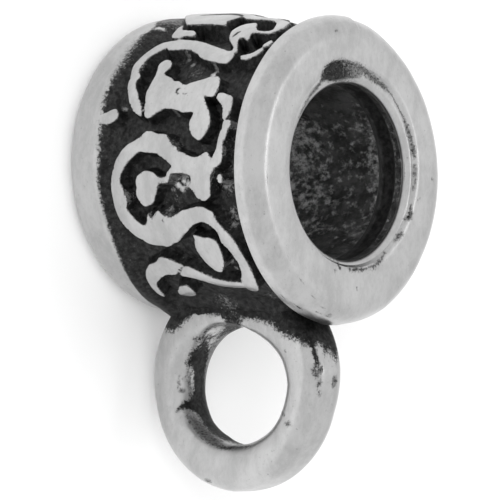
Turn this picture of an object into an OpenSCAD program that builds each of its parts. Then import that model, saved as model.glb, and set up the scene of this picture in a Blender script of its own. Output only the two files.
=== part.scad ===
// Tube bail: a short cast tube that slides over a cord or chain, with a loop below it for a drop.
// The bore runs along Z and the back face lies at z = 0. The loop hangs along +X.
// All sizes are in millimetres.

/* [Barrel] */
// Outside diameter over the two rims
barrel_d = 8.6; // [8.2:0.1:10]
// Length along the bore, face to face
barrel_length = 7.2; // [6.8:0.1:9]
// Diameter of the bore
bore_d = 5.0; // [4.4:0.1:5.2]
// Width of the rim at the front face
front_rim_w = 0.65; // [0.6:0.05:0.9]
// Width of the rim at the back face
back_rim_w = 1.5; // [1.2:0.05:1.7]
// Depth of the band between the rims
band_depth = 0.4; // [0.3:0.05:0.5]
// Radius on the outer edge of the front rim
front_round = 0.6; // [0.2:0.05:0.6]
// Radius on the outer edge of the back rim
back_round = 0.7; // [0.2:0.05:0.9]
// Radius on the edge of the bore at the front mouth
mouth_round = 0.08; // [0.05:0.01:0.08]
// Radius on the edge of the bore at the back mouth
back_mouth_round = 0.2; // [0.05:0.01:0.3]
// How far the outside leans away from the loop at the back face; it is true to the bore at the front
lean = 0.28; // [0:0.01:0.3]

/* [Recess in the front face] */
// Diameter of the shallow step round the mouth
recess_d = 5.6; // [5.56:0.02:5.8]
// Depth of the step below the front face
recess_depth = 0.12; // [0.05:0.01:0.2]
// How far the step sits off the bore axis, away from the loop
recess_up = 0.1; // [0:0.01:0.1]

/* [Loop] */
// Outside diameter of the loop
loop_d = 6.2; // [5.8:0.1:7]
// Diameter of the loop's hole
loop_hole_d = 3.5; // [3:0.1:3.6]
// Thickness of the loop, measured along its hole
loop_w = 1.58; // [1.2:0.02:1.8]
// Length of the straight wall in the middle of the loop's hole
loop_land = 0.5; // [0.4:0.02:0.7]
// Distance from the bore axis to the middle of the loop's hole
loop_drop = 6.0; // [5.9:0.05:6.2]
// Height of the loop's hole above the back face
loop_z = 3.5; // [3.3:0.1:3.8]

/* [Scrollwork] */
// Height of the scrolls above the floor of the band
scroll_height = 0.37; // [0.2:0.01:0.38]
// How much higher the broad scroll opposite the loop stands
crown_extra = 0.15; // [0:0.01:0.16]
// How much higher the scrolls next to it stand
ring_extra = 0.06; // [0:0.01:0.08]
// Radius on the corners of the scrolls
scroll_corner = 0.03; // [0.01:0.01:0.04]
// Straight pieces between two rows of a stroke's table
scroll_steps = 2; // [2:1:3]

/* [Hidden] */

round_steps = 6;
min_half = 0.02;
barrel_r = barrel_d / 2;
bore_r = bore_d / 2;
floor_r = barrel_r - band_depth;
crest_r = floor_r + scroll_height;
// Each scroll is pulled out from inside the wall to a place clear of the crest.
pull_from = (bore_r + floor_r) / 2;
pull_length = barrel_r - pull_from + 0.3;
band_lo = back_rim_w;
band_hi = barrel_length - front_rim_w;
recess_z = barrel_length - recess_depth;
lean_angle = atan(lean / barrel_length);
back_rim_lean = lean * (1 - back_rim_w / 2 / barrel_length);

// The scroll tables are charted on a band of this radius between these two heights.
chart_r = 4.25;
chart_lo = 1.5;
chart_hi = 6.55;
// Most tables were read off as if the tube stood straight. Seen along the line of sight, a place that
// moves this much towards the side has to move 1 mm along the bore to stay where it shows.
sight_slope = 0.877;

// Columns of each stroke: place round the band from the side opposite the loop, height, half width.
COL_ROUND = 0;
COL_HEIGHT = 1;
COL_HALF = 2;

// Columns of an outline: place round the band, height. The row of corners runs once round the shape.
crown = [[-0.3, 0.9], [0.5, 1.2], [1.0, 1.52], [1.55, 1.98], [2.0, 2.42], [2.1, 2.6], [2.08, 3.2], [2.1, 3.7],
    [2.03, 3.97], [1.75, 3.78], [1.4, 3.85], [1.0, 3.7], [0.4, 3.4], [-0.3, 3.2]];
crown_ring = [[2.45, 5.36, 0.05], [2.57, 5.7, 0.06], [2.58, 5.95, 0.08], [2.45, 6.16, 0.14], [2.2, 6.12, 0.15],
    [1.98, 5.95, 0.13], [1.84, 5.7, 0.1], [1.72, 5.4, 0.09], [1.62, 5.1, 0.1], [1.55, 4.9, 0.12],
    [1.4, 4.6, 0.15], [1.2, 4.25, 0.2], [0.95, 3.9, 0.2], [0.8, 3.55, 0.2]];
crown_arm = [[1.95, 4.68], [1.88, 4.95], [2.02, 5.12], [2.25, 5.28], [2.5, 5.36], [2.72, 5.4], [2.92, 5.46],
    [2.94, 5.32], [2.8, 5.12], [2.62, 5.04], [2.6, 4.92], [2.75, 4.86], [2.95, 4.98], [3.1, 5.15],
    [3.4, 5.34], [3.42, 5.2], [3.22, 5.05], [3.05, 4.85], [2.8, 4.7], [2.6, 4.64], [2.3, 4.63]];
low_leaf = [[2.22, 2.46], [2.5, 2.48], [2.76, 2.5], [2.8, 2.84], [2.6, 2.76], [2.4, 2.6]];

top_leaf = [[2.75, 6.08, 0.06], [3.0, 6.12, 0.1], [3.28, 5.98, 0.15], [3.5, 5.76, 0.11], [3.55, 5.58, 0.03]];
rim_bead = [[5.42, 1.35, 0.19], [5.42, 1.65, 0.22], [5.38, 1.88, 0.15], [5.34, 2.0, 0.05]];

first_cup = [[3.43, 5.3, 0.22], [3.43, 5.15, 0.32], [3.34, 4.6, 0.29], [3.15, 4.1, 0.27], [2.93, 3.5, 0.26],
    [2.79, 3.0, 0.26], [2.75, 2.6, 0.25], [2.86, 2.2, 0.2], [3.14, 1.94, 0.16], [3.6, 1.76, 0.14],
    [4.1, 1.93, 0.14], [4.6, 2.14, 0.15], [4.98, 2.42, 0.16], [5.24, 2.7, 0.11], [5.42, 2.92, 0.03]];

arch = [[4.9, 5.55, 0.05], [5.08, 5.84, 0.15], [5.45, 6.02, 0.11], [5.8, 6.07, 0.09], [6.2, 6.03, 0.09],
    [6.6, 5.95, 0.14], [6.92, 5.78, 0.2], [7.15, 5.55, 0.24]];
arch_tie = [[5.78, 6.05, 0.12], [5.77, 6.4, 0.1], [5.78, 6.7, 0.14]];

second_spur = [[6.56, 5.55, 0.05], [6.75, 5.46, 0.15], [7.05, 5.38, 0.2]];
second_cup = [[7.02, 5.5, 0.2], [6.98, 5.25, 0.3], [6.9, 4.9, 0.24], [6.72, 4.45, 0.26], [6.42, 4.08, 0.29],
    [6.21, 3.6, 0.29], [6.22, 3.05, 0.24], [6.46, 2.6, 0.24], [6.88, 2.22, 0.2], [7.5, 2.13, 0.2],
    [8.05, 2.21, 0.23], [8.57, 2.58, 0.27], [8.84, 3.02, 0.33], [8.68, 3.55, 0.48], [8.5, 4.05, 0.42],
    [8.33, 4.62, 0.27], [8.23, 5.1, 0.22], [8.34, 5.46, 0.19], [8.76, 5.76, 0.17], [9.28, 5.97, 0.18],
    [9.85, 6.04, 0.16], [10.3, 5.95, 0.18], [10.6, 5.76, 0.2], [10.72, 5.58, 0.08]];
second_knob = [[7.0, 5.28, 0.28], [7.3, 5.27, 0.33], [7.55, 5.27, 0.32], [7.72, 5.27, 0.22],
    [7.82, 5.27, 0.08]];
second_bridge = [[7.46, 5.0, 0.14], [7.44, 4.55, 0.08], [7.27, 4.2, 0.08], [7.28, 3.9, 0.13]];
second_drop = [[7.27, 4.0, 0.1], [7.32, 3.72, 0.22], [7.46, 3.4, 0.44], [7.55, 3.08, 0.36],
    [7.6, 2.88, 0.14]];

third_knob = [[8.86, 4.78, 0.06], [9.06, 4.92, 0.27], [9.32, 5.0, 0.44], [9.65, 5.04, 0.36],
    [9.95, 5.04, 0.17], [10.06, 5.04, 0.05]];
third_strand = [[10.62, 5.65, 0.13], [10.56, 5.2, 0.12], [10.42, 4.72, 0.14], [10.24, 4.25, 0.17],
    [10.13, 3.85, 0.14], [10.14, 3.52, 0.04]];
third_cup = [[10.02, 4.05, 0.06], [9.86, 3.62, 0.25], [9.84, 3.1, 0.28], [10.0, 2.65, 0.24],
    [10.35, 2.28, 0.15], [10.8, 2.12, 0.1], [11.15, 2.16, 0.07], [11.35, 2.28, 0.03]];
third_drop = [[10.7, 3.46, 0.1], [10.84, 3.36, 0.26], [10.98, 3.2, 0.32], [11.14, 3.04, 0.2],
    [11.22, 2.96, 0.05]];

first_palm = [[4.27, 5.15], [4.38, 5.31], [4.62, 5.36], [4.86, 5.32], [4.94, 5.18], [4.88, 4.93], [5.05, 5.0],
    [5.24, 5.14], [5.5, 5.38], [5.78, 5.47], [6.03, 5.4], [6.18, 5.2], [6.18, 4.98], [6.0, 4.78],
    [5.7, 4.71], [5.45, 4.76], [5.36, 4.72], [5.37, 4.45], [5.28, 4.15], [5.23, 3.75], [5.32, 3.5],
    [5.47, 3.2], [5.5, 3.02], [5.3, 2.93], [4.8, 2.8], [4.3, 2.74], [3.95, 2.68], [3.68, 2.61], [3.48, 2.7],
    [3.47, 2.87], [3.6, 3.05], [3.82, 3.14], [4.02, 3.05], [4.14, 3.2], [4.24, 3.55], [4.4, 3.88],
    [4.48, 4.12], [4.4, 4.45], [4.3, 4.8]];

// Each group shares one pull direction, square to the band at the place that is named first. The strokes
// come second, the outlines third, and how much higher than the rest it stands last.
crown_group = [0.9, [], [crown], crown_extra];
ring_group = [2.2, [crown_ring], [crown_arm, low_leaf], ring_extra];
first_group = [3.9, [for (rows = [first_cup, top_leaf]) settled(rows)], [settled(first_palm)], 0];
arch_group = [5.9, [for (rows = [arch, arch_tie, rim_bead]) settled(rows)], [], 0];
second_group = [7.7, [for (rows = [second_spur, second_cup, second_knob, second_bridge, second_drop])
    settled(rows)], [], 0];
third_group = [10.2, [for (rows = [third_knob, third_strand, third_cup, third_drop]) settled(rows)], [], 0];
scroll_groups = [crown_group, ring_group, first_group, arch_group, second_group, third_group];

// A table that was read off a straight tube, moved onto the leaning one along the line of sight: the cosine
// of each place's angle falls by the lean there over the radius, and its height follows the change of sine.
function settled(rows) = [
    for (row = rows)
        let (
            before = row[COL_ROUND] / chart_r * 180 / PI,
            after = acos(cos(before) - lean * (1 - row[COL_HEIGHT] / barrel_length) / chart_r),
            height = row[COL_HEIGHT] + sight_slope * chart_r * (sin(after) - sin(before))
        )
        [chart_r * after * PI / 180, height, row[COL_HALF]]
];

// One point of the smooth curve through four rows, at t from 0 to 1 between the middle two.
function curve_point(a, b, c, d, t) =
    0.5 * (2 * b + (c - a) * t + (2 * a - 5 * b + 4 * c - d) * t * t + (3 * b - 3 * c + d - a) * t * t * t);

// All rows of a stroke's smooth middle line, with its half width in the third column.
function middle_line(rows) = [
    for (i = [0 : len(rows) - 2], k = [0 : scroll_steps - 1])
        let (before = rows[max(i - 1, 0)], after = rows[min(i + 2, len(rows) - 1)])
        curve_point(before, rows[i], rows[i + 1], after, k / scroll_steps),
    rows[len(rows) - 1]
];

// Unit direction of the middle line at one row.
function heading(line, i) =
    let (step = line[min(i + 1, len(line) - 1)] - line[max(i - 1, 0)])
    [step[COL_ROUND], step[COL_HEIGHT]] / norm([step[COL_ROUND], step[COL_HEIGHT]]);

// A chart place moved onto the plane that stands square to the band at the group's middle.
function on_plane(place, middle) = [
    crest_r * sin((place[0] - middle) / chart_r * 180 / PI),
    band_lo + (place[1] - chart_lo) * (band_hi - band_lo) / (chart_hi - chart_lo)
];

// One edge of a stroke: side is 1 for the left edge and -1 for the right.
function stroke_edge(line, middle, side) = [
    for (i = [0 : len(line) - 1])
        let (along = heading(line, i), half = max(line[i][COL_HALF], min_half) * side)
        on_plane([line[i][COL_ROUND] - along[1] * half, line[i][COL_HEIGHT] + along[0] * half], middle)
];

function backwards(list) = [for (i = [len(list) - 1 : -1 : 0]) list[i]];

// A quarter turn of points round a centre, from angle to angle.
function arc(centre, radius, from, to) = [
    for (i = [0 : round_steps]) let (a = from + (to - from) * i / round_steps)
        centre + radius * [cos(a), sin(a)]
];

// Stands its shapes on the leaning axis, which meets the bore axis at the front face.
module leaning() {
    translate([-lean, 0, 0])
        rotate([0, lean_angle, 0])
            children();
}

// The front rim, as a disc.
module front_rim() {
    rotate_extrude($fn = 120)
        polygon(concat(
            [[0, band_hi], [barrel_r, band_hi]],
            arc([barrel_r - front_round, barrel_length - front_round], front_round, 0, 90),
            [[0, barrel_length]]
        ));
}

// The back rim, as a disc.
module back_rim() {
    translate([-back_rim_lean, 0, 0])
        rotate_extrude($fn = 120)
            polygon(concat(
                [[0, back_rim_w], [0, 0]],
                arc([barrel_r - back_round, back_round], back_round, -90, 0),
                [[barrel_r, back_rim_w]]
            ));
}

// The floor of the band, reaching into both rims.
module band_floor() {
    leaning()
        translate([0, 0, back_rim_w / 2])
            cylinder(r = floor_r, h = barrel_length - (back_rim_w + front_rim_w) / 2, $fn = 120);
}

// What the bore takes away, with its rounded mouths.
module bore_hole() {
    rotate_extrude($fn = 120)
        polygon(concat(
            [[0, -1], [bore_r + back_mouth_round, -1]],
            arc([bore_r + back_mouth_round, back_mouth_round], back_mouth_round, 270, 180),
            arc([bore_r + mouth_round, recess_z - mouth_round], mouth_round, 180, 90),
            [[bore_r + mouth_round, barrel_length + 1], [0, barrel_length + 1]]
        ));
}

// The step round the mouth, cut a little off the bore axis.
module front_recess() {
    translate([-recess_up, 0, recess_z])
        cylinder(d = recess_d, h = 1, $fn = 96);
}

module barrel() {
    difference() {
        union() {
            front_rim();
            back_rim();
            band_floor();
        }
        bore_hole();
        front_recess();
    }
}

// Outline of one stroke on its group's plane.
module stroke(rows, middle) {
    line = middle_line(rows);
    polygon(concat(stroke_edge(line, middle, 1), backwards(stroke_edge(line, middle, -1))));
}

// A shape that is charted by the corners round its edge.
module outline(corners, middle) {
    polygon([for (place = corners) on_plane(place, middle)]);
}

// One group of strokes, merged in the flat and pulled straight out through the band.
module scroll_block(group) {
    middle = group[0];
    rotate([0, 0, 180 + middle / chart_r * 180 / PI])
        translate([pull_from, 0, 0])
            rotate([90, 0, 90])
                linear_extrude(pull_length)
                    offset(r = scroll_corner, $fn = 16)
                        offset(delta = -scroll_corner) {
                            for (rows = group[1]) stroke(rows, middle);
                            for (corners = group[2]) outline(corners, middle);
                        }
}

// The scrolls of the half band on one side of the loop, each group cut off level at its crest.
module half_band() {
    for (group = scroll_groups)
        intersection() {
            scroll_block(group);
            translate([0, 0, back_rim_w / 2])
                cylinder(r = crest_r + group[3], h = barrel_length - (back_rim_w + front_rim_w) / 2, $fn = 180);
        }
}

// The two half bands are mirror images of each other.
module scrollwork() {
    leaning() {
        half_band();
        mirror([0, 1, 0]) half_band();
    }
}

// Half section of the loop: a rounded bar with a short straight wall at the hole.
module loop_section() {
    bar = (loop_d - loop_hole_d) / 2;
    corner = (loop_w - loop_land) / 2;
    translate([loop_hole_d / 2, 0])
        polygon(concat(
            arc([corner, loop_land / 2], corner, 180, 90),
            arc([bar - corner, loop_land / 2], corner, 90, 0),
            arc([bar - corner, -loop_land / 2], corner, 0, -90),
            arc([corner, -loop_land / 2], corner, -90, -180)
        ));
}

module loop() {
    translate([loop_drop, 0, loop_z])
        rotate([90, 0, 0])
            rotate_extrude($fn = 96) loop_section();
}

// The part of the loop that stands outside the barrel's wall.
module loop_outside() {
    difference() {
        loop();
        translate([0, 0, -1])
            cylinder(r = pull_from, h = barrel_length + 2, $fn = 120);
    }
}

module bail() {
    color("silver") {
        barrel();
        scrollwork();
        loop_outside();
    }
}

bail();
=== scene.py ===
import math

import bpy
import numpy as np
from mathutils import Matrix, Vector


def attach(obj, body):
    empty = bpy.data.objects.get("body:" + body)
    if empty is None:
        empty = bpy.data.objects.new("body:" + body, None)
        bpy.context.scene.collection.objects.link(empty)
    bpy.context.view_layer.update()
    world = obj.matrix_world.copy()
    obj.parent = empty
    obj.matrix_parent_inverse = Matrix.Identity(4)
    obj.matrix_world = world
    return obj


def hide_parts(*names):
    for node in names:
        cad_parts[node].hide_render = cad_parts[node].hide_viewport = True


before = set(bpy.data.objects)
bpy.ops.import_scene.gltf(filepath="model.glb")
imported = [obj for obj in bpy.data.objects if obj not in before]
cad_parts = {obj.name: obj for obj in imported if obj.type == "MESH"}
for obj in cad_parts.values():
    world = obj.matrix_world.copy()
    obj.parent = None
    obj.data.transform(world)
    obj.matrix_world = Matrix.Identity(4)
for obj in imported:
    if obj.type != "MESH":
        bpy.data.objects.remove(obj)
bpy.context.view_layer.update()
print("frame loaded:", sorted(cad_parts))

# Shapes are worked out in millimetres, and a mesh is turned to metres when it is made.
mm = 0.001

view = {
    "yaw": 48.69,           # degrees from the line of sight to the bore, sideways
    "pitch": -0.08,         # the same, upwards
    "roll": 3.72,           # turn round the bore that hangs the loop almost straight down
    "across": -2.51,        # mm that the bore's back end sits right of the picture's middle
    "up": 2.22,             # mm above it
    "distance": 80.06,      # mm from the lens
    "focalPixels": 2720.0,
    "imageWidth": 500,
    "sensorWidth": 36.0,
    "nearest": 0.001,       # metres from the lens between which things are seen
    "farthest": 10.0,
}


# The three axes of the part as the camera sees them: n along the bore, l towards the loop, e across.
# n comes from yaw and pitch, l is n's upright partner turned by the roll, and e is n crossed with l.
def cameraAxes(v):
    yaw, pitch, roll = (math.radians(v[k]) for k in ("yaw", "pitch", "roll"))
    n = Vector((math.sin(yaw) * math.cos(pitch), math.sin(pitch), math.cos(yaw) * math.cos(pitch)))
    side = Vector((0, 1, 0)).cross(n).normalized()
    upright = n.cross(side)
    l = -(math.cos(roll) * upright + math.sin(roll) * side)
    return l, n.cross(l), n


def addCamera(v):
    l, e, n = cameraAxes(v)
    partToCamera = Matrix((l, e, n)).transposed()
    cameraToPart = partToCamera.transposed()
    place = -(cameraToPart @ Vector((v["across"], v["up"], -v["distance"]))) * mm
    data = bpy.data.cameras.new("camera")
    data.sensor_width = v["sensorWidth"]
    data.lens = v["focalPixels"] * v["sensorWidth"] / v["imageWidth"]
    data.clip_start = v["nearest"]
    data.clip_end = v["farthest"]
    thing = bpy.data.objects.new("camera", data)
    thing.matrix_world = Matrix.Translation(place) @ cameraToPart.to_4x4()
    bpy.context.scene.collection.objects.link(thing)
    bpy.context.scene.camera = thing


addCamera(view)
print("camera set")

# The scroll charts, read off the band. Columns: place round the band in mm from the side opposite the
# loop, height above the back face. Each outline runs once round its shape.
scrollOutlines = {
    "crown": [
        [-0.3, 0.9], [0.5, 1.2], [1, 1.52], [1.55, 1.98], [2, 2.42], [2.1, 2.6], [2.08, 3.2], [2.1, 3.7],
        [2.03, 3.97], [1.75, 3.78], [1.4, 3.85], [1, 3.7], [0.4, 3.4], [-0.3, 3.2]
    ],
    "crownArm": [
        [1.92, 4.99], [1.95, 4.8], [2, 4.66], [2.15, 4.56], [2.36, 4.53], [2.6, 4.57], [2.76, 4.64],
        [2.95, 4.79], [3.08, 4.97], [3.22, 5.1], [3.42, 5.2], [3.4, 5.36], [3.2, 5.26], [3.04, 5.15],
        [2.88, 5.05], [2.76, 5.1], [2.79, 5.2], [2.87, 5.31], [2.88, 5.41], [2.79, 5.43], [2.67, 5.37],
        [2.55, 5.35], [2.5, 5.46], [2.4, 5.4], [2.24, 5.26], [2.05, 5.12]
    ],
    "lowLeaf": [[2.2, 2.46], [2.5, 2.46], [2.78, 2.48], [2.8, 2.84], [2.6, 2.8], [2.4, 2.64]],
    "lowDrop": [
        [2.48, 2.74], [2.5, 2.95], [2.51, 3.15], [2.6, 3.3], [2.7, 3.34], [2.74, 3.2], [2.73, 3],
        [2.75, 2.8], [2.62, 2.7]
    ],
    "topLeaf": [
        [3.58, 5.6], [3.74, 5.74], [3.7, 5.95], [3.6, 6.1], [3.44, 6.23], [3.3, 6.26], [3.22, 6.2],
        [3.3, 6.1], [3.41, 5.99], [3.5, 5.86], [3.53, 5.7]
    ],
    "topBead": [
        [3.12, 6.12], [3, 6.2], [2.93, 6.31], [2.98, 6.38], [3.08, 6.38], [3.18, 6.3], [3.2, 6.18]
    ],
    "rimBead": [
        [5.59, 1.28], [5.52, 1.49], [5.45, 1.65], [5.42, 1.83], [5.48, 1.94], [5.59, 1.99], [5.7, 1.94],
        [5.81, 1.78], [5.86, 1.58], [5.84, 1.4], [5.74, 1.26]
    ],
    "firstCup": [
        [3.36, 5], [3.4, 5.2], [3.52, 5.33], [3.7, 5.33], [3.84, 5.26], [3.87, 5.08], [3.82, 4.87],
        [3.75, 4.51], [3.68, 4.24], [3.55, 4.05], [3.43, 3.87], [3.34, 3.65], [3.27, 3.51], [3.25, 3.28],
        [3.27, 3.05], [3.3, 2.83], [3.27, 2.69], [3.2, 2.56], [3.33, 2.42], [3.5, 2.26], [3.68, 2.17],
        [3.86, 2.15], [4.05, 2.1], [4.23, 2.19], [4.36, 2.29], [4.52, 2.25], [4.68, 2.3], [4.84, 2.44],
        [5, 2.55], [5.09, 2.58], [5.14, 2.67], [5.27, 2.76], [5.41, 2.81], [5.52, 2.85], [5.6, 2.83],
        [5.57, 2.74], [5.48, 2.55], [5.36, 2.42], [5.18, 2.26], [5, 2.15], [4.82, 2.05], [4.59, 1.96],
        [4.36, 1.92], [4.14, 1.85], [3.95, 1.8], [3.73, 1.83], [3.52, 1.9], [3.32, 1.99], [3.14, 2.1],
        [3.02, 2.27], [2.95, 2.49], [2.9, 2.7], [2.88, 3], [2.91, 3.44], [2.97, 3.79], [3.06, 4.1],
        [3.17, 4.44], [3.28, 4.75]
    ],
    "firstPalm": [
        [3.75, 2.83], [3.71, 2.9], [3.73, 3.05], [3.8, 3.17], [3.93, 3.24], [4.02, 3.25], [4.11, 3.19],
        [4.2, 3.15], [4.3, 3.21], [4.33, 3.33], [4.39, 3.51], [4.49, 3.65], [4.51, 3.83], [4.59, 4.01],
        [4.64, 4.17], [4.59, 4.28], [4.5, 4.51], [4.45, 4.71], [4.36, 4.9], [4.34, 5.08], [4.35, 5.24],
        [4.45, 5.33], [4.59, 5.37], [4.8, 5.4], [4.91, 5.37], [5, 5.33], [5.01, 5.19], [4.98, 5.03],
        [4.95, 4.94], [5.07, 5.03], [5.18, 5.15], [5.36, 5.28], [5.55, 5.4], [5.75, 5.47], [5.91, 5.45],
        [6.09, 5.37], [6.22, 5.28], [6.28, 5.15], [6.22, 4.99], [6.11, 4.85], [5.95, 4.76], [5.77, 4.73],
        [5.59, 4.77], [5.49, 4.77], [5.48, 4.6], [5.48, 4.37], [5.41, 4.15], [5.39, 3.87], [5.38, 3.65],
        [5.43, 3.55], [5.52, 3.37], [5.64, 3.19], [5.66, 3.08], [5.59, 2.99], [5.43, 2.92], [5.23, 2.87],
        [5, 2.83], [4.77, 2.81], [4.55, 2.85], [4.32, 2.86], [4.14, 2.83], [3.95, 2.76], [3.84, 2.77]
    ],
    "arch": [
        [4.92, 5.48], [4.9, 5.65], [4.94, 5.88], [5, 6.03], [5.14, 6.11], [5.36, 6.13], [5.6, 6.07],
        [5.7, 5.99], [5.62, 5.9], [5.45, 5.84], [5.28, 5.75], [5.15, 5.6], [5.05, 5.49]
    ],
    "archArm": [
        [5.68, 6], [5.7, 6.17], [5.84, 6.22], [6, 6.15], [6.18, 6.1], [6.32, 6.04], [6.55, 6.06],
        [6.72, 6.05], [6.88, 5.98], [6.98, 5.82], [7.05, 5.6], [6.86, 5.6], [6.73, 5.7], [6.5, 5.81],
        [6.27, 5.84], [6.09, 5.88], [5.91, 5.93], [5.78, 5.94]
    ],
    "second": [
        [6.6, 5.5], [6.6, 5.42], [6.64, 5.33], [6.72, 5.15], [6.74, 4.96], [6.69, 4.78], [6.62, 4.6],
        [6.57, 4.46], [6.48, 4.37], [6.41, 4.24], [6.31, 4.12], [6.18, 4.01], [6.11, 3.92], [6.11, 3.74],
        [6.09, 3.58], [6.05, 3.42], [6.04, 3.24], [6.08, 3.1], [6.2, 2.96], [6.31, 2.78], [6.41, 2.55],
        [6.5, 2.42], [6.61, 2.28], [6.8, 2.15], [6.95, 2.05], [7.18, 1.96], [7.36, 1.92], [7.55, 1.88],
        [7.75, 1.86], [7.95, 1.85], [8.2, 1.88], [8.5, 1.94], [8.75, 2.05], [8.95, 2.23], [9.08, 2.4],
        [9.2, 2.6], [9.31, 2.8], [9.32, 3.05], [9.34, 3.25], [9.36, 3.4], [9.33, 3.55], [9.23, 3.8],
        [9.13, 4], [8.99, 4.2], [8.8, 4.45], [8.66, 4.65], [8.58, 4.85], [8.54, 5.03], [8.58, 5.25],
        [8.68, 5.4], [8.75, 5.5], [8.9, 5.55], [9.15, 5.56], [9.33, 5.68], [9.53, 5.78], [9.75, 5.81],
        [10, 5.79], [10.2, 5.73], [10.38, 5.6], [10.46, 5.53], [10.7, 5.5], [10.85, 5.55], [10.89, 5.7],
        [10.88, 5.86], [10.75, 5.98], [10.55, 6.05], [10.2, 6.13], [9.8, 6.18], [9.45, 6.14], [9.2, 6.08],
        [8.98, 6], [8.83, 5.9], [8.68, 5.78], [8.53, 5.65], [8.38, 5.6], [8.24, 5.53], [8.18, 5.4],
        [8.1, 5.25], [8.09, 5.05], [8.13, 4.85], [8.19, 4.6], [8.23, 4.4], [8.3, 4.25], [8.38, 4.05],
        [8.43, 3.9], [8.4, 3.8], [8.45, 3.7], [8.38, 3.65], [8.28, 3.55], [8.27, 3.45], [8.38, 3.33],
        [8.5, 3.2], [8.48, 3.12], [8.34, 3.1], [8.42, 3.05], [8.6, 2.98], [8.7, 2.85], [8.69, 2.73],
        [8.58, 2.58], [8.43, 2.45], [8.25, 2.33], [8.13, 2.35], [8, 2.4], [7.85, 2.34], [7.65, 2.3],
        [7.5, 2.23], [7.35, 2.25], [7.2, 2.32], [7.09, 2.4], [6.95, 2.51], [6.8, 2.71], [6.67, 2.87],
        [6.61, 3.01], [6.64, 3.24], [6.64, 3.46], [6.68, 3.65], [6.77, 3.83], [6.86, 4.01], [6.95, 4.15],
        [7.01, 4.19], [7.08, 4.1], [7.16, 4.06], [7.22, 4.12], [7.18, 4.3], [7.18, 4.6], [7.24, 4.84],
        [7.38, 4.9], [7.52, 4.8], [7.6, 4.88], [7.73, 5], [7.84, 5.08], [7.91, 5.23], [7.89, 5.4],
        [7.8, 5.53], [7.65, 5.59], [7.45, 5.6], [7.27, 5.62], [7.05, 5.75], [6.9, 5.72], [6.7, 5.58]
    ],
    "secondDrop": [
        [7.32, 2.87], [7.23, 2.99], [7.17, 3.15], [7.16, 3.37], [7.2, 3.53], [7.3, 3.65], [7.33, 3.78],
        [7.27, 3.96], [7.14, 4.04], [7.2, 4.14], [7.4, 4.06], [7.48, 4], [7.48, 3.78], [7.55, 3.62],
        [7.63, 3.6], [7.8, 3.53], [7.98, 3.43], [8.09, 3.3], [8.15, 3.1], [8.1, 2.93], [7.95, 2.83],
        [7.78, 2.79], [7.55, 2.82]
    ],
    "sideBead": [[7.2, 6.02], [7.18, 5.92], [7.28, 5.84], [7.38, 5.88], [7.43, 5.98], [7.34, 6.07]],
    "thirdKnob": [
        [8.93, 4.58], [8.96, 4.75], [9.01, 4.9], [9, 5.1], [9.04, 5.25], [9.13, 5.35], [9.3, 5.4],
        [9.55, 5.38], [9.8, 5.3], [10.05, 5.15], [10.17, 5], [10.13, 4.85], [9.98, 4.7], [9.7, 4.58],
        [9.4, 4.5], [9.2, 4.53], [9.05, 4.59]
    ],
    "thirdStrand": [
        [10.38, 3.33], [10.23, 3.45], [10.07, 3.62], [10.04, 3.85], [10.15, 4.05], [10.3, 4.3],
        [10.43, 4.55], [10.51, 4.85], [10.54, 5.1], [10.54, 5.4], [10.6, 5.6], [10.76, 5.55],
        [10.77, 5.4], [10.79, 5.1], [10.78, 4.75], [10.73, 4.45], [10.6, 4.1], [10.51, 3.8],
        [10.46, 3.55], [10.44, 3.4]
    ],
    "thirdCup": [
        [10, 3.65], [9.9, 3.45], [9.8, 3.25], [9.76, 3.1], [9.77, 2.93], [9.84, 2.8], [9.93, 2.68],
        [10, 2.45], [10.13, 2.25], [10.28, 2.08], [10.48, 1.93], [10.7, 1.83], [10.95, 1.75], [11.2, 1.7],
        [11.4, 1.69], [11.55, 1.73], [11.6, 1.8], [11.5, 1.88], [11.3, 1.91], [11.05, 1.98], [10.85, 2.1],
        [10.7, 2.25], [10.58, 2.45], [10.48, 2.65], [10.4, 2.9], [10.39, 3.15], [10.3, 3.3], [10.19, 3.4],
        [10.08, 3.58]
    ],
    "thirdDrop": [
        [11.38, 2.58], [11.2, 2.65], [11.08, 2.75], [10.93, 2.9], [10.88, 3.05], [10.86, 3.2],
        [10.95, 3.28], [11.15, 3.31], [11.3, 3.25], [11.4, 3.05], [11.45, 2.85], [11.44, 2.68]
    ],
}

# Strokes of the same chart, with their half width: the ring beside the crown.
scrollStrokes = [
    [
        [2.46, 5.36, 0.05], [2.52, 5.6, 0.045], [2.54, 5.82, 0.05], [2.53, 5.96, 0.07], [2.42, 6.1, 0.12],
        [2.24, 6.12, 0.18], [2.04, 6.05, 0.2], [1.85, 5.92, 0.18], [1.7, 5.68, 0.13], [1.58, 5.38, 0.1],
        [1.5, 5.1, 0.1], [1.45, 4.9, 0.12], [1.34, 4.6, 0.15], [1.18, 4.25, 0.2], [0.95, 3.9, 0.2],
        [0.8, 3.55, 0.2]
    ],
]

# Small spots in the dark band where the tarnish is rubbed through, the same columns.
rubbedSpots = [
    [[3.98, 4.6, 0.06], [4.1, 4.66, 0.08]],
    [[7.36, 4.3, 0.045], [7.45, 4.36, 0.06]],
    [[7.42, 3.98, 0.045], [7.55, 4.12, 0.07], [7.7, 4.3, 0.075]],
    [[7.46, 4.5, 0.06], [7.58, 4.48, 0.07]],
    [[7.28, 5.76, 0.05], [7.2, 5.86, 0.045]],
    [[9.84, 5.16, 0.045], [9.92, 5.2, 0.055], [10, 5.22, 0.045]],
    [[2.13, 1.28, 0.05], [2.02, 1.38, 0.055], [1.95, 1.47, 0.045]],
    [[5.74, 6, 0.09], [5.76, 6.1, 0.08], [5.78, 6.25, 0.06], [5.78, 6.5, 0.09]],
]

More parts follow.
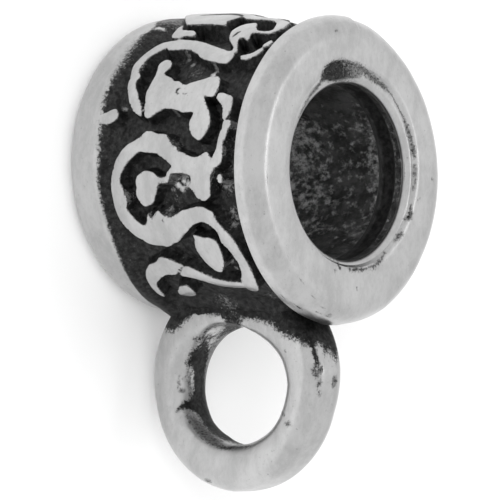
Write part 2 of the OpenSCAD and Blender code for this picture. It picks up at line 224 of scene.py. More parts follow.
# Pits that hold tarnish in the polished scrolls, the same columns.
darkPits = [
    [[4.74, 4.02, 0.03], [4.82, 3.95, 0.04], [4.9, 3.97, 0.04], [4.95, 4.06, 0.03]],
    [[4.93, 4.2, 0.02], [4.93, 4.36, 0.025]],
    [[8.52, 3.61, 0.03], [8.6, 3.64, 0.03]],
    [[2.78, 4.78, 0.035], [2.67, 4.83, 0.06], [2.54, 4.89, 0.04]],
    [[1.22, 2.3, 0.06], [1.15, 2.7, 0.12], [1.1, 3.1, 0.16], [1.08, 3.5, 0.14], [1.1, 3.8, 0.05]],
    [[1.2, 4.9, 0.03], [1.37, 5.26, 0.06], [1.56, 5.64, 0.07], [1.74, 6.02, 0.07], [1.9, 6.34, 0.05]],
    [[10.6, 6.62, 0.01], [10.97, 6.69, 0.02], [11.3, 6.75, 0.025], [11.68, 6.82, 0.03], [12, 6.86, 0.02]],
]

barrel = {
    "length": 7.2,
    "rimRadius": 4.3,
    "boreRadius": 2.5,
    "bandRadius": 3.9,
    "crestRadius": 4.24,    # at the edge of a scroll
    "crestSwell": 0.035,    # how much higher its middle is
    "swellWidth": 0.16,
    "flankWidth": 0.085,
    "flankPower": 1.6,      # above 1 hollows the foot of the flank
    "bandLow": 1.2,         # the floor has risen to the back rim here
    "slopeEnd": 2.0,        # and starts to rise here
    "bandHigh": 6.55,
    "bandWall": 0.06,       # slope of the wall between the band and the front rim
    "rimEdge": 0.05,        # the wall's top is this much higher than its foot
    "lean": 0.28,           # how far the outside leans away from the loop at the back face
    "crownExtra": 0.15,     # how much higher the broad scroll opposite the loop stands
    "crownEnds": (3.4, 4.2),    # heights between which that gives way to the next
    "ringExtra": 0.09,      # the same for the scrolls next to it
    "ringEnds": (2.3, 3.3),     # places round the band between which that ends
    "chartRadius": 4.25,
    "frontRound": 0.6,
    # the front rim is a little flat on one side: degrees from the side opposite the loop, mm
    "rimFlat": [
        [0, 0.05], [10, 0.06], [20, 0.12], [30, 0.16], [45, 0.18], [60, 0.17], [75, 0.14], [90, 0.1],
        [105, 0.08], [122, 0.08], [140, 0.03], [152, 0]
    ],
    "rimFlatStart": (-25, 0),
    "backRound": 0.7,
    "lipRound": 0.2,
    "lipSwell": 0.09,       # how far the lip bulges into the mouth opposite the loop
    "backMouthRound": 0.2,
    "grooveLow": 6.16,      # a shallow ring runs round the bore near the mouth
    "grooveHigh": 6.6,
    "grooveDepth": 0.04,
    "grooveSlope": 0.05,
    "grooveFoot": 6.06,     # the bore's rows lie closer from here on
    "boreEnds": (2.6, 2.8),     # radii between which the bore gives way to the faces
    "stepRadius": 2.8,
    "stepDepth": 0.12,
    "stepSlope": 0.07,      # half the width of the slope at its edge
    "stepTop": 0.02,        # the slope's upper part
    "stepUp": 0.1,
    "pocketReach": 0.2,     # how far the worn pocket at the top eats into the face
    "pocketTurn": (-36, -27, -20, 12),  # degrees at which it starts, is full, wanes and ends
    "skinStart": 3.3,       # waves and grain begin at this radius
    "skinFoot": 0.02,       # and this height, so that the back face stays flat
    "floorGrain": 0.018,
    "floorGrainSize": 0.32,
    "floorGrainRoom": 0.2,  # it fades out this far under the rims
    "skinWave": 0.008,
    "skinWaveSize": 2.2,
    "edgeWobble": 0.014,    # how far a scroll's edge wanders
    "edgeWobbleSize": 0.4,
    "nudge": 0.01,          # step by which a slope is measured
    "leastSlope": 0.25,     # the least that a slide divides by: the square of a slope
    "columns": [(-11.5, 31), (0.0, 158), (11.5, 256), (None, 31)],  # end place and columns of each stretch
    # rows of each stretch of the section
    "rows": {
        "bore": 12, "groove": 16, "lip": 6, "stepFloor": 4, "stepSlope": 4, "stepTop": 2, "frontFace": 8,
        "frontRound": 9, "frontSide": 1, "bandWall": 2, "band": 90, "backSide": 6, "backRound": 8,
        "backFace": 4, "backMouth": 4
    },
}

loop = {
    "middleX": 6.0,
    "middleZ": 3.5,
    "outerRadius": 3.1,
    "halfThickness": 0.79,
    "holeRadius": 1.75,
    # degrees from the root, more towards the front: the hole's radius and the rounding of its edges
    "holeShape": [
        [-180, 1.77, 0.56], [-150, 1.77, 0.6], [-126, 1.87, 0.66], [-100, 1.88, 0.68], [-80, 1.84, 0.66],
        [-60, 1.81, 0.58], [-42, 1.77, 0.46], [-26, 1.74, 0.24], [-12, 1.69, 0.12], [0, 1.66, 0.1],
        [12, 1.64, 0.12], [26, 1.62, 0.22], [42, 1.65, 0.4], [56, 1.72, 0.54], [70, 1.81, 0.64],
        [90, 1.9, 0.68], [117, 1.89, 0.68], [130, 1.87, 0.66], [147, 1.82, 0.62], [180, 1.77, 0.56]
    ],
    # degrees from the root either way: how far the outside stands off its circle
    "outerShape": [[0, 0.08], [80, 0.08], [92, 0.03], [104, -0.02], [170, -0.02], [180, 0]],
    "corner": 0.54,         # rounding of the outer edges
    "columns": 240,
    "cornerRows": 12,
    "sideRows": 5,
    "fillet": 0.6,          # reach of the saddle that the barrel's skin makes round the root
    "filletShare": 0.5,
    "skinWave": 0.008,
    "skinWaveSize": 2.4,
}


# Catmull-Rom curve through the rows, steps pieces between two rows; a closed one joins its last row to
# its first. Each point is half of 2b + (c-a)t + (2a-5b+4c-d)t^2 + (3b-3c+d-a)t^3.
def smoothLine(rows, steps, closed=False):
    rows = np.asarray(rows, float)
    count = len(rows)
    if closed:
        order = [(np.arange(count) + k) % count for k in (-1, 0, 1, 2)]
    else:
        order = [np.clip(np.arange(count - 1) + k, 0, count - 1) for k in (-1, 0, 1, 2)]
    a, b, c, d = (rows[o][:, None, :] for o in order)
    t = (np.arange(steps) / steps)[None, :, None]
    line = 0.5 * (2 * b + (c - a) * t + (2 * a - 5 * b + 4 * c - d) * t ** 2
                  + (3 * b - 3 * c + d - a) * t ** 3)
    line = line.reshape(-1, rows.shape[1])
    return line if closed else np.vstack([line, rows[-1:]])


# The distance that stands for any point too far outside a shape to matter, in mm.
farAway = -0.7


# Signed distance into a stroke: its half width less the distance to its middle line, the largest over
# its pieces. Past a flat end it is minus the overshoot.
def strokeDistance(u, v, rows, steps=5):
    line = smoothLine(rows, steps)
    reach = line[:, 2].max() - farAway
    low, high = line[:, :2].min(0) - reach, line[:, :2].max(0) + reach
    near = np.flatnonzero((u > low[0]) & (u < high[0]) & (v > low[1]) & (v < high[1]))
    best = np.full(u.shape, farAway)
    if len(near) == 0:
        return best
    pu, pv, top = u[near], v[near], np.full(len(near), farAway)
    last = len(line) - 2
    for k in range(last + 1):
        (au, av, ah), (bu, bv, bh) = line[k], line[k + 1]
        du, dv = bu - au, bv - av
        length = math.hypot(du, dv)
        raw = ((pu - au) * du + (pv - av) * dv) / length ** 2
        t = np.clip(raw, 0, 1)
        gap = np.hypot(pu - au - t * du, pv - av - t * dv)
        inside = ah + (bh - ah) * t - gap
        if k == 0:
            inside = np.minimum(inside, raw * length)
        if k == last:
            inside = np.minimum(inside, (1 - raw) * length)
        top = np.maximum(top, inside)
    best[near] = top
    return best


tiny = 1e-12


# Signed distance into a closed outline: the distance to its nearest side, minus outside. A point is
# inside when a line from it to the right crosses the outline an odd number of times.
def outlineDistance(u, v, corners, steps=3):
    line = smoothLine(corners, steps, closed=True)
    low, high = line.min(0) + farAway, line.max(0) - farAway
    near = np.flatnonzero((u > low[0]) & (u < high[0]) & (v > low[1]) & (v < high[1]))
    best = np.full(u.shape, farAway)
    if len(near) == 0:
        return best
    u, v = u[near], v[near]
    gap = np.full(u.shape, -farAway)
    inside = np.zeros(u.shape, bool)
    for (au, av), (bu, bv) in zip(line, np.roll(line, -1, axis=0)):
        du, dv = bu - au, bv - av
        t = np.clip(((u - au) * du + (v - av) * dv) / max(du * du + dv * dv, tiny), 0, 1)
        gap = np.minimum(gap, np.hypot(u - au - t * du, v - av - t * dv))
        if av != bv:
            crosses = ((av > v) != (bv > v)) & (u < au + (v - av) * du / dv)
            inside ^= crosses
    best[near] = np.where(inside, gap, -gap)
    return best


# How far the outside has leaned at a height: lean * (1 - height / length).
def leanAt(height, p=barrel):
    return p["lean"] * (1 - height / p["length"])


# The deepest of several strokes at each point.
def deepestStroke(u, v, strokes):
    best = np.full(u.shape, farAway)
    for rows in strokes:
        best = np.maximum(best, strokeDistance(u, v, rows))
    return best


waves = {
    "count": 28,
    "shares": (0.6, 1.5),   # of the wave number that the size gives
    "height": 0.8,          # scales the sum, which is then cut off at 1
    "seeds": {"scrollEdge": 11, "bandFloor": 5, "barrelSkin": 6, "loopSkin": 8},
}


# Smooth noise from -1 to 1: the sum of many sine waves with fixed random directions and phases, over the
# root of their number.
def waveNoise(points, size, where, w=waves):
    rng = np.random.default_rng(w["seeds"][where])
    way = rng.normal(size=(w["count"], 3))
    way /= np.linalg.norm(way, axis=1)[:, None]
    way *= rng.uniform(*w["shares"], w["count"])[:, None] * 2 * math.pi / size
    phase = rng.uniform(0, 2 * math.pi, w["count"])
    total = np.zeros(len(points))
    for wave, start in zip(way, phase):
        total += np.sin(points @ wave + start)
    return np.clip(total / math.sqrt(w["count"]) * w["height"], -1, 1)


# Signed distance into the scrollwork, the largest over all its shapes, with edges that wander a little.
# The two half bands are mirror images, so the place round the band is taken without its sign.
def scrollDistance(around, height, p=barrel):
    u = np.abs(around)
    best = deepestStroke(u, height, scrollStrokes)
    for rows in scrollOutlines.values():
        best = np.maximum(best, outlineDistance(u, height, rows))
    flat = np.stack([u, height, 0 * u], 1)
    return best + p["edgeWobble"] * waveNoise(flat, p["edgeWobbleSize"], "scrollEdge")


# Signed distance to the loop's bar, outside positive: that of a rounded box in the plane of radius from
# the loop's middle and distance from its mid plane.
def ringDistance(x, y, z, p=loop):
    half = (p["outerRadius"] - p["holeRadius"]) / 2
    across = np.abs(np.hypot(x - p["middleX"], z - p["middleZ"]) - p["holeRadius"] - half)
    qx = across - (half - p["corner"])
    qy = np.abs(y) - (p["halfThickness"] - p["corner"])
    return (np.hypot(np.maximum(qx, 0), np.maximum(qy, 0)) + np.minimum(np.maximum(qx, qy), 0)
            - p["corner"])


# 0 below low, 1 above high, smooth between.
def smoothRise(value, low, high):
    t = np.clip((value - low) / (high - low), 0, 1)
    return t * t * (3 - 2 * t)


# Degrees from the side opposite the loop, growing to the right in the picture, from -180 to 180.
def clockAngle(theta):
    turn = (180 - np.degrees(theta)) % 360
    return np.where(turn > 180, turn - 360, turn)


# Radius of the step round the mouth at an angle: a circle off the bore axis seen from the axis, plus a
# smooth swell where the pocket is.
def stepEdge(theta, p=barrel):
    toward = -p["stepUp"] * np.cos(theta)
    across = -p["stepUp"] * np.sin(theta)
    circle = toward + np.sqrt(p["stepRadius"] ** 2 - across ** 2)
    turn = clockAngle(theta)
    start, full, wane, end = p["pocketTurn"]
    return circle + p["pocketReach"] * smoothRise(turn, start, full) * (1 - smoothRise(turn, wane, end))


# Rows from one key curve towards the next, the last left out: first + (next - first) * share.
def straightRows(first, next_, count):
    share = (np.arange(count) / count)[:, None, None]
    return first[None] + (next_ - first)[None] * share


# Rows round an arc, the last left out: centre + radius * (cos, sin).
def arcRows(centre, radius, start, stop, count):
    a = np.radians(start + (stop - start) * np.arange(count) / count)
    return centre[None] + radius * np.stack([np.cos(a), np.sin(a)], 1)[:, :, None]


# The barrel's columns as places round it, in mm from the side opposite the loop. They lie closest on the
# half that the photo shows.
def barrelPlaces(p=barrel):
    half = math.pi * p["chartRadius"]
    start, places = -half, []
    for end, count in p["columns"]:
        end = half if end is None else end
        places.append(start + (end - start) * np.arange(count) / count)
        start = end
    return np.concatenate(places)


# The closed half section at each angle, as rows of radius and height: up the bore, over the front face,
# down the band, and round the back rim. The band's rows come out as a slice too.
def barrelSection(theta, p=barrel):
    def key(r, z):
        return np.stack([r + 0 * theta, z + 0 * theta])

    n = p["rows"]
    top, rim, bore, band = p["length"], p["rimRadius"], p["boreRadius"], p["bandRadius"]
    lip, front, back, mouth = p["lipRound"], p["frontRound"], p["backRound"], p["backMouthRound"]
    turn = clockAngle(theta)
    flatTurn, flatDepth = np.array(p["rimFlat"]).T
    near = rim - np.interp(turn, flatTurn, flatDepth, left=0) * smoothRise(turn, *p["rimFlatStart"])
    edge, slope, upper = stepEdge(theta), p["stepSlope"], top - p["stepTop"]
    foot, stepFloor = p["grooveFoot"], top - p["stepDepth"]
    bandTop, bandEnd = p["bandHigh"] - p["bandWall"], p["bandLow"]
    wallTop = bandTop + p["rimEdge"]
    above = [
        straightRows(key(bore, mouth), key(bore, foot), n["bore"]),
        straightRows(key(bore, foot), key(bore, stepFloor - lip), n["groove"]),
        arcRows(key(bore + lip, stepFloor - lip), lip, 180, 90, n["lip"]),
        straightRows(key(bore + lip, stepFloor), key(edge - slope, stepFloor), n["stepFloor"]),
        straightRows(key(edge - slope, stepFloor), key(edge, upper), n["stepSlope"]),
        straightRows(key(edge, upper), key(edge + slope, top), n["stepTop"]),
        straightRows(key(edge + slope, top), key(near - front, top), n["frontFace"]),
        arcRows(key(near - front, top - front), front, 90, 0, n["frontRound"]),
        straightRows(key(near, top - front), key(near, wallTop), n["frontSide"]),
        straightRows(key(near, wallTop), key(band + p["bandWall"], bandTop), n["bandWall"]),
    ]
    inBand = straightRows(key(band, bandTop), key(band, bandEnd), n["band"])
    below = [
        straightRows(key(rim, bandEnd), key(rim, back), n["backSide"]),
        arcRows(key(rim - back, back), back, 0, -90, n["backRound"]),
        straightRows(key(rim - back, 0), key(bore + mouth, 0), n["backFace"]),
        arcRows(key(bore + mouth, mouth), mouth, 270, 180, n["backMouth"]),
    ]
    first = sum(len(rows) for rows in above)
    return np.concatenate([*above, inBand, *below]), slice(first, first + n["band"])


# Points closer than near to a scroll's edge slide onto it, so that the edge is a clean line: each moves
# by minus the distance * slope / slope^2. Their new places come out with their new distances.
def slideToEdges(u, v, near, p=barrel):
    def depth(u, v):
        return scrollDistance(u.ravel(), v.ravel()).reshape(u.shape)

    d = depth(u, v)
    du = (depth(u + p["nudge"], v) - d) / p["nudge"]
    dv = (depth(u, v + p["nudge"]) - d) / p["nudge"]
    slide = np.where(np.abs(d) < near, -d / np.maximum(du ** 2 + dv ** 2, p["leastSlope"]), 0)
    slide[0], slide[-1] = 0, 0
    u, v = u + slide * du, v + slide * dv
    return u, v, depth(u, v)


# Radius in the band: floor + (crest - floor) * rise. The floor climbs to the back rim, and the crest swells
# inside a scroll's edge by 1 - e^(-distance / width).
def bandSurface(u, v, d, rise, p=barrel):
    extra = p["ringExtra"] + (p["crownExtra"] - p["ringExtra"]) * (1 - smoothRise(v, *p["crownEnds"]))
    extra *= 1 - smoothRise(np.abs(u), *p["ringEnds"])
    swell = p["crestSwell"] * (1 - np.exp(-np.maximum(d, 0) / p["swellWidth"]))
    climb = 1 - smoothRise(v, p["bandLow"], p["slopeEnd"])
    floor = p["bandRadius"] + (p["rimRadius"] - p["bandRadius"]) * climb
    return floor + np.maximum(p["crestRadius"] + extra + swell - floor, 0) * rise


# How far the bore's wall moves out: the shallow ring, less the lip that bulges opposite the loop.
def boreMove(radius, height, angle, p=barrel):
    low, high, soft = p["grooveLow"], p["grooveHigh"], p["grooveSlope"]
    ring = smoothRise(height, low - soft, low + soft) - smoothRise(height, high - soft, high + soft)
    lipFoot = p["length"] - p["stepDepth"] - p["lipRound"]
    bulge = smoothRise(height, high, lipFoot) * np.maximum(-np.cos(angle), 0) ** 2
    return (1 - smoothRise(radius, *p["boreEnds"])) * (p["grooveDepth"] * ring - p["lipSwell"] * bulge)


# The barrel is a closed grid: the angle runs one way and the closed half section the other. In the band
# the rise goes from 0 to 1 over the flank outside a scroll's edge. Last, the outside leans, and the skin
# gets its waves, its grain and the saddle round the loop's root.
def barrelGrid(p=barrel):
    place = barrelPlaces()
    grid, inBand = barrelSection(math.pi + place / p["chartRadius"])
    radius, height = grid[:, 0].copy(), grid[:, 1].copy()
    around = np.broadcast_to(place, radius.shape).copy()

    rowGap = (p["bandHigh"] - p["bandWall"] - p["bandLow"]) / p["rows"]["band"]
    u, v, d = slideToEdges(around[inBand], height[inBand], rowGap / 2)
    rise = np.clip((d + p["flankWidth"]) / p["flankWidth"], 0, 1) ** p["flankPower"]
    around[inBand], height[inBand], radius[inBand] = u, v, bandSurface(u, v, d, rise)
    angle = math.pi + around / p["chartRadius"]
    radius += boreMove(radius, height, angle)

    leaning = leanAt(height) * smoothRise(radius, p["boreEnds"][1], p["rimRadius"] - p["backRound"])
    points = np.stack([radius * np.cos(angle) - leaning, radius * np.sin(angle), height], -1)
    flat = points.reshape(-1, 3)
    outer = ((radius > p["skinStart"]) & (height > p["skinFoot"])).ravel()
    floorShare = np.zeros(radius.shape)
    floorShare[inBand] = 1 - rise
    floorShare = floorShare.ravel()
    room = np.clip((p["rimRadius"] - radius.ravel()) / p["floorGrainRoom"], 0, 1)
    grain = waveNoise(flat, p["floorGrainSize"], "bandFloor") * p["floorGrain"] * floorShare * room
    wave = (waveNoise(flat, p["skinWaveSize"], "barrelSkin") - 1) * p["skinWave"] * (1 - floorShare)

    # The saddle: the skin rises by reach * share * (1 - distance / reach)^2 near the loop.
    gap = np.clip(ringDistance(*flat.T) / loop["fillet"], 0, 1)
    saddle = loop["fillet"] * loop["filletShare"] * (1 - gap) ** 2 * (flat[:, 0] > 0)
    away = np.stack([np.cos(angle).ravel(), np.sin(angle).ravel()], 1)
    flat[:, :2] += away * (grain + (wave + saddle) * outer)[:, None]
    return flat.reshape(points.shape)


# The loop's bar: a box section with rounded edges, carried round a circle. The section's points are its
# corner circles' centres + rounding * (cos, sin), with points along the straight sides. The radius of the
# hole, the rounding of its edges and the radius outside change with the angle from the root.
def loopGrid(p=loop):
    phi = 2 * math.pi * np.arange(p["columns"]) / p["columns"]
    fromRoot = np.degrees(math.pi - phi)
    turn, holeRadius, holeRound = np.array(p["holeShape"]).T
    hole, inner = (np.interp(fromRoot, turn, column) for column in (holeRadius, holeRound))
    turn, standOff = np.array(p["outerShape"]).T
    rim = p["outerRadius"] + np.interp(np.abs(fromRoot), turn, standOff)
    outer = np.full_like(phi, p["corner"])
    sides = [(rim, outer, 1, 1), (hole, inner, -1, 1), (hole, inner, -1, -1), (rim, outer, 1, -1)]
    section = []
    for k, (edge, rounding, sx, sy) in enumerate(sides):
        a = np.radians(90 * k + 90 * np.arange(p["cornerRows"] + 1) / p["cornerRows"])[:, None]
        radius = edge - sx * rounding + rounding * np.cos(a)
        height = sy * (p["halfThickness"] - rounding) + rounding * np.sin(a)
        section.append(np.stack([radius, height]))
    closed = []
    share = (np.arange(1, p["sideRows"]) / p["sideRows"])[None, :, None]
    for k, corner in enumerate(section):
        last, after = corner[:, -1:], section[(k + 1) % len(section)][:, :1]
        closed += [corner, last + (after - last) * share]
    radius, y = np.concatenate(closed, 1)
    away = np.stack([np.cos(phi), 0 * phi, np.sin(phi)], -1)[None]
    grid = radius[..., None] * away + np.array([p["middleX"], 0, p["middleZ"]])
    grid[..., 1] = y
    wave = (waveNoise(grid.reshape(-1, 3), p["skinWaveSize"], "loopSkin") - 1) * p["skinWave"]
    return grid + away * wave.reshape(radius.shape)[..., None]


# A mesh from a grid that is closed both ways: each face joins a point to its neighbours down and across.
def closedGridMesh(name, grid):
    rows, columns = grid.shape[:2]
    number = np.arange(rows * columns).reshape(rows, columns)
    down, right = np.roll(number, -1, 0), np.roll(number, -1, 1)
    faces = np.stack([number, down, np.roll(down, -1, 1), right], -1).reshape(-1, 4)
    mesh = bpy.data.meshes.new(name)
    mesh.from_pydata((grid.reshape(-1, 3) * mm).tolist(), [], faces.tolist())
    mesh.update()
    return mesh


def addObject(name, mesh):
    thing = bpy.data.objects.new(name, mesh)
    bpy.context.scene.collection.objects.link(thing)
    return thing


# The barrel and the loop become one skin: what either mesh has inside the other goes.
def joinSkins(first, second, name):
    cut = first.modifiers.new("join", "BOOLEAN")
    cut.operation = "UNION"
    cut.object = second
    cut.solver = "EXACT"
    shown = first.evaluated_get(bpy.context.evaluated_depsgraph_get())
    mesh = bpy.data.meshes.new_from_object(shown)
    mesh.name = name
    for thing in (first, second):
        old = thing.data
        bpy.data.objects.remove(thing)
        bpy.data.meshes.remove(old)
    return addObject(name, mesh)


sharpAngle = 38     # degrees between two faces from which their edge is drawn sharp

barrelPart = addObject("barrelPart", closedGridMesh("barrelPart", barrelGrid()))
print("barrel made:", len(barrelPart.data.polygons), "faces")
loopPart = addObject("loopPart", closedGridMesh("loopPart", loopGrid()))
print("loop made:", len(loopPart.data.polygons), "faces")
bail = joinSkins(barrelPart, loopPart, "bail")
bail.data.polygons.foreach_set("use_smooth", [True] * len(bail.data.polygons))
bail.data.set_sharp_from_angle(angle=math.radians(sharpAngle))
bail.data.calc_loop_triangles()
print("joined:", len(bail.data.vertices), "points,", len(bail.data.loop_triangles), "triangles")

tarnish = {
    "frontBorder": 6.49,    # the dark band ends this high under the front rim
    # place round the band, height of the dark band's end on the back rim, how ragged it is
    "backBorder": [
        [0, 0.6, 0.1], [1.5, 0.8, 0.1], [1.93, 1.12, 0.1], [2.25, 1.2, 0.12], [2.6, 1.14, 0.2],
        [3, 1.2, 0.28], [3.5, 1.24, 0.28], [4, 1.28, 0.24], [4.5, 1.27, 0.16], [5, 1.28, 0.12],
        [5.4, 1.32, 0.11], [6, 1.38, 0.12], [6.6, 1.4, 0.11], [7, 1.39, 0.09], [7.5, 1.36, 0.08],
        [8, 1.38, 0.08], [8.6, 1.4, 0.08], [9, 1.4, 0.06], [9.5, 1.38, 0.05], [10, 1.32, 0.05],
        [10.5, 1.24, 0.04], [11, 1.13, 0.03], [11.5, 1.03, 0.03], [12, 0.93, 0.04], [13.4, 0.8, 0.08]
    ],
    "mouthHigh": 6.9,       # the bore is dark up to here
    # height in the bore, how thin the tarnish is there, how much painted light lifts it above the band's
    "boreTable": [
        [2.9, 0.83, 1.05], [4, 0.75, 1.05], [4.6, 0.62, 1], [5.7, 0.64, 1], [5.9, 0.78, 1],
        [6.07, 0.76, 1], [6.12, 0.2, 0.3], [6.6, 0.2, 0.3], [6.66, 0.75, 0.8], [6.8, 0.6, 0.8]
    ],
    "sightX": 0.0738,       # how far a point 1 mm below the front face shows off to the side there
    "sightY": -1.1356,
    "sightSlope": 0.877,    # the same on the loop's near side, mm along z for 1 mm along y
    # how ragged the tarnish's border is at the scrolls, the rubbed spots, the front rim and in the bore
    "scrollRagged": 0.028,
    "rubbedRagged": 0.07,
    "frontRagged": 0.035,
    "boreRagged": 0.01,
    "outsideWeight": 4.0,   # outside a scroll the distance counts for more, so that its edge stays clean
    "wornWeight": 40.0,     # and for less again where the edge is worn
    "thinLeast": 0.42,      # the band's tarnish is at least this thin everywhere
    "borderThin": 4.0,      # thinner beside a ragged back border, by this times its raggedness
    "borderThinWidth": 0.2,
    "boreSkin": 0.19,       # the bore's tarnish covers points this close to its wall
    "boreSides": (1.4, 2.2),    # it grows thicker between these distances from the middle plane
    "boreSidesShare": 0.3,
    "backMouthSkin": 0.07,  # at the back mouth it ends this far out
    "backMouthHigh": 1.0,
    "seam": 0.01,           # the bore's rule ends this far below the step
    "faceDepth": 0.3,       # the front face's marks reach this deep
    "faceReach": 0.15,      # and this far into the bore
    "backFaceHigh": 0.02,
    "backFaceSoil": -0.3,
    "loopReach": 0.3,       # the loop's marks reach this far from its bar
    "loopFoot": 0.25,       # and begin this far outside the band's floor
    "holeWall": 0.45,       # width of the hole's wall, and of the outer wall that turns to the front
    "outerWall": 0.5,
    "outerWallLow": 5.0,
    # Soft spots where the band's tarnish is thin: place, height, size, strength.
    "thinSpots": [
        [3.95, 3.9, 0.65, 0.62], [3.5, 3.2, 0.5, 0.55], [3.7, 1.4, 0.45, 0.6], [4.7, 1.4, 0.4, 0.5],
        [7.5, 5.95, 0.5, 0.82], [8.4, 6, 0.45, 0.78], [8, 3.95, 0.35, 0.62], [8.8, 4.55, 0.3, 0.6],
        [2.7, 1.9, 0.5, 0.5], [2.9, 5.9, 0.4, 0.55], [6.3, 6.1, 0.35, 0.62], [9.9, 5.3, 0.35, 0.65],
        [1.2, 1.2, 0.9, 1], [3.2, 4.7, 0.3, 0.5], [6.2, 4.1, 0.25, 0.6], [8.3, 2.2, 0.3, 0.6],
        [3.34, 3.34, 0.13, 1.3], [3.58, 3.62, 0.13, 1.2], [3.7, 4.68, 0.12, 1.3], [3.84, 4.74, 0.12, 1.3],
        [5.41, 4, 0.14, 1.15], [5.28, 1.86, 0.13, 1.2], [7.27, 4.1, 0.2, 1.25], [7.27, 4.42, 0.18, 1.25],
        [7.7, 3.9, 0.12, 1.2], [7.42, 6.06, 0.13, 1.3], [7.57, 5.87, 0.1, 1.2], [7.63, 5.4, 0.12, 1.1],
        [8.3, 5.98, 0.12, 1.3], [8.5, 6.1, 0.11, 1.2], [8.7, 5.94, 0.11, 1.3], [7.9, 2.25, 0.18, 1],
        [8.3, 3.75, 0.14, 1.3], [10.08, 5.2, 0.11, 1.2], [10.33, 5.22, 0.11, 1.3], [6.55, 6.3, 0.3, 1],
        [6.2, 6.3, 0.25, 0.9], [7, 6.25, 0.3, 0.9], [12.2, 3.6, 0.7, 0.75], [11.8, 5.6, 0.6, 0.7],
        [13, 5.2, 0.6, 0.7]
    ],
    # Soft spots where a scroll's edge is worn ragged: the same columns, the strength being how ragged.
    "wornEdges": [
        [6.4, 4.22, 0.26, 0.13], [3.89, 1.95, 0.3, 0.08], [7.92, 2.52, 0.3, 0.12], [8.4, 3.3, 0.28, 0.12],
        [8.32, 3.97, 0.3, 0.13], [7.45, 3.82, 0.25, 0.12], [5.25, 2.87, 0.25, 0.08],
        [6.91, 5.57, 0.2, 0.06], [6.53, 6.06, 0.25, 0.07], [4.3, 1.95, 0.25, 0.07],
        [9.3, 4.55, 0.3, 0.07], [10.4, 2.9, 0.3, 0.07]
    ],
}
